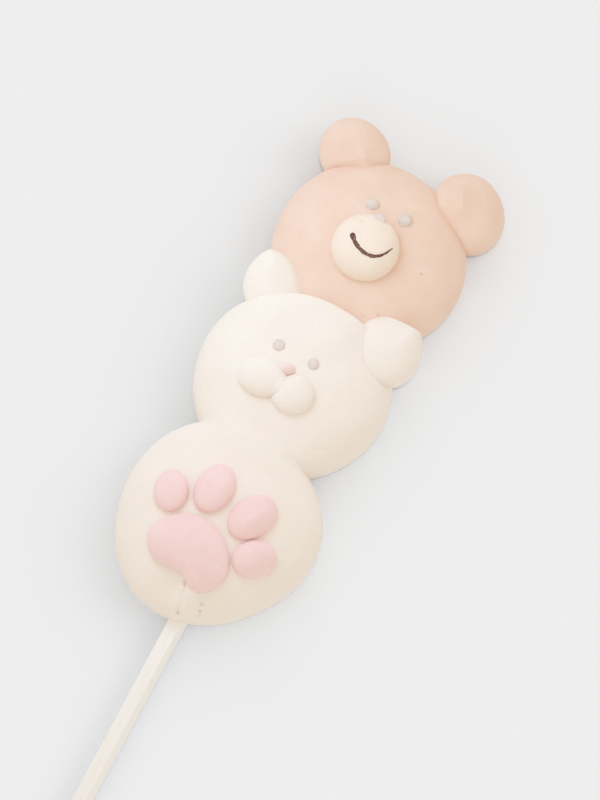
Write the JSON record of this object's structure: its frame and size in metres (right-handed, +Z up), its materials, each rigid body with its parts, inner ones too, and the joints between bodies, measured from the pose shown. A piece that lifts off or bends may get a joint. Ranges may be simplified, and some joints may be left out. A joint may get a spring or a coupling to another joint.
{
  "type": "marshmallow pop",
  "caption": "Marshmallow pop lying face up: a bear's head, a cat's head and a pink-padded paw in a row on a square wooden stick.",
  "frame": {"origin": "on the supporting surface, under the middle of the whole pop's bounding box", "axes": "+Y along the stick from its free end towards the bear's ears, +Z up out of the faces, +X to the right seen from above with the heads at the top"},
  "size_m": [0.0524, 0.2254, 0.022],
  "materials": {
    "pale_wood": "smooth bleached wood, unvarnished",
    "peach_marshmallow": "soft matte marshmallow, powdery skin",
    "cream_marshmallow": "soft matte marshmallow, powdery skin",
    "white_marshmallow": "soft matte marshmallow, powdery skin",
    "pink_marshmallow": "soft matte marshmallow, powdery skin",
    "grey_icing": "dried icing dots, satin",
    "cocoa_paint": "thin brushed cocoa colour, matte"
  },
  "bodies": {
    "root": {"stick": "pale_wood", "bear_head": "peach_marshmallow", "bear_ear_left": "peach_marshmallow", "bear_ear_right": "peach_marshmallow", "bear_muzzle": "cream_marshmallow", "cat_head": "white_marshmallow", "cat_ear_left": "white_marshmallow", "cat_ear_right": "white_marshmallow", "cat_cheek_left": "white_marshmallow", "cat_cheek_right": "white_marshmallow", "paw_disc": "white_marshmallow", "paw_pad": "pink_marshmallow", "paw_toe_1": "pink_marshmallow", "paw_toe_2": "pink_marshmallow", "paw_toe_3": "pink_marshmallow", "paw_toe_4": "pink_marshmallow"}
  },
  "joints": []
}
